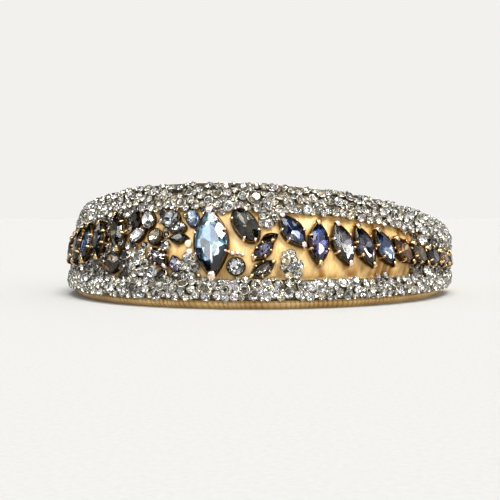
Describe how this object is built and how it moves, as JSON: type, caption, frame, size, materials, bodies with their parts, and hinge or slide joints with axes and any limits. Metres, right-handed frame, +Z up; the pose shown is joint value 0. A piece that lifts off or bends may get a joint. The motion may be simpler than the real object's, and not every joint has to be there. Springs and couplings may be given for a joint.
{
  "type": "jewelled headband tiara",
  "caption": "Jewelled headband tiara: a padded gold satin band, open behind, with rhinestone borders and claw-set coloured stones.",
  "frame": {"origin": "under the middle of the whole tiara, on the surface that its level rim stands on", "axes": "+X from one side of the head to the other, -Y out of the jewelled front, +Z up from the rim to the top edge"},
  "size_m": [0.173, 0.1352, 0.0472],
  "materials": {
    "gold_satin": "amber gold satin over padding",
    "gold_settings": "polished gold-plated brass",
    "clear_crystal": "foil-backed cut glass",
    "ice_crystal": "foil-backed pale blue cut glass",
    "smoke_crystal": "foil-backed smoke grey cut glass",
    "blue_crystal": "foil-backed dark blue cut glass",
    "lavender_crystal": "foil-backed lavender cut glass",
    "amber_crystal": "foil-backed topaz cut glass"
  },
  "bodies": {
    "root": {"claws_front": "gold_settings", "claws_left_01": "gold_settings", "claws_left_02": "gold_settings", "claws_left_03": "gold_settings", "claws_left_04": "gold_settings", "claws_left_05": "gold_settings", "claws_left_06": "gold_settings", "claws_left_07": "gold_settings", "claws_left_08": "gold_settings", "claws_left_09": "gold_settings", "claws_left_10": "gold_settings", "claws_right_01": "gold_settings", "claws_right_02": "gold_settings", "claws_right_03": "gold_settings", "claws_right_04": "gold_settings", "claws_right_05": "gold_settings", "claws_right_06": "gold_settings", "claws_right_07": "gold_settings", "claws_right_08": "gold_settings", "claws_right_09": "gold_settings", "claws_right_10": "gold_settings", "claws_right_11": "gold_settings", "claws_right_12": "gold_settings", "claws_right_13": "gold_settings", "cupped_oval_left": "smoke_crystal", "cupped_pear_left": "clear_crystal", "cupped_round_left": "clear_crystal", "cupped_round_right": "clear_crystal", "cupped_round_side": "smoke_crystal", "lower_rhinestone_border": "clear_crystal", "paved_cluster": "clear_crystal", "paved_drop": "clear_crystal", "paved_leaf_left": "clear_crystal", "paved_leaf_right": "clear_crystal", "satin_band": "gold_satin", "stone_front": "ice_crystal", "stone_left_01": "smoke_crystal", "stone_left_02": "smoke_crystal", "stone_left_03": "smoke_crystal", "stone_left_04": "blue_crystal", "stone_left_05": "smoke_crystal", "stone_left_06": "amber_crystal", "stone_left_07": "smoke_crystal", "stone_left_08": "blue_crystal", "stone_left_09": "smoke_crystal", "stone_left_10": "amber_crystal", "stone_right_01": "smoke_crystal", "stone_right_02": "lavender_crystal", "stone_right_03": "smoke_crystal", "stone_right_04": "blue_crystal", "stone_right_05": "blue_crystal", "stone_right_06": "clear_crystal", "stone_right_07": "smoke_crystal", "stone_right_08": "blue_crystal", "stone_right_09": "amber_crystal", "stone_right_10": "smoke_crystal", "stone_right_11": "smoke_crystal", "stone_right_12": "amber_crystal", "stone_right_13": "smoke_crystal", "upper_rhinestone_border": "clear_crystal"}
  },
  "joints": []
}
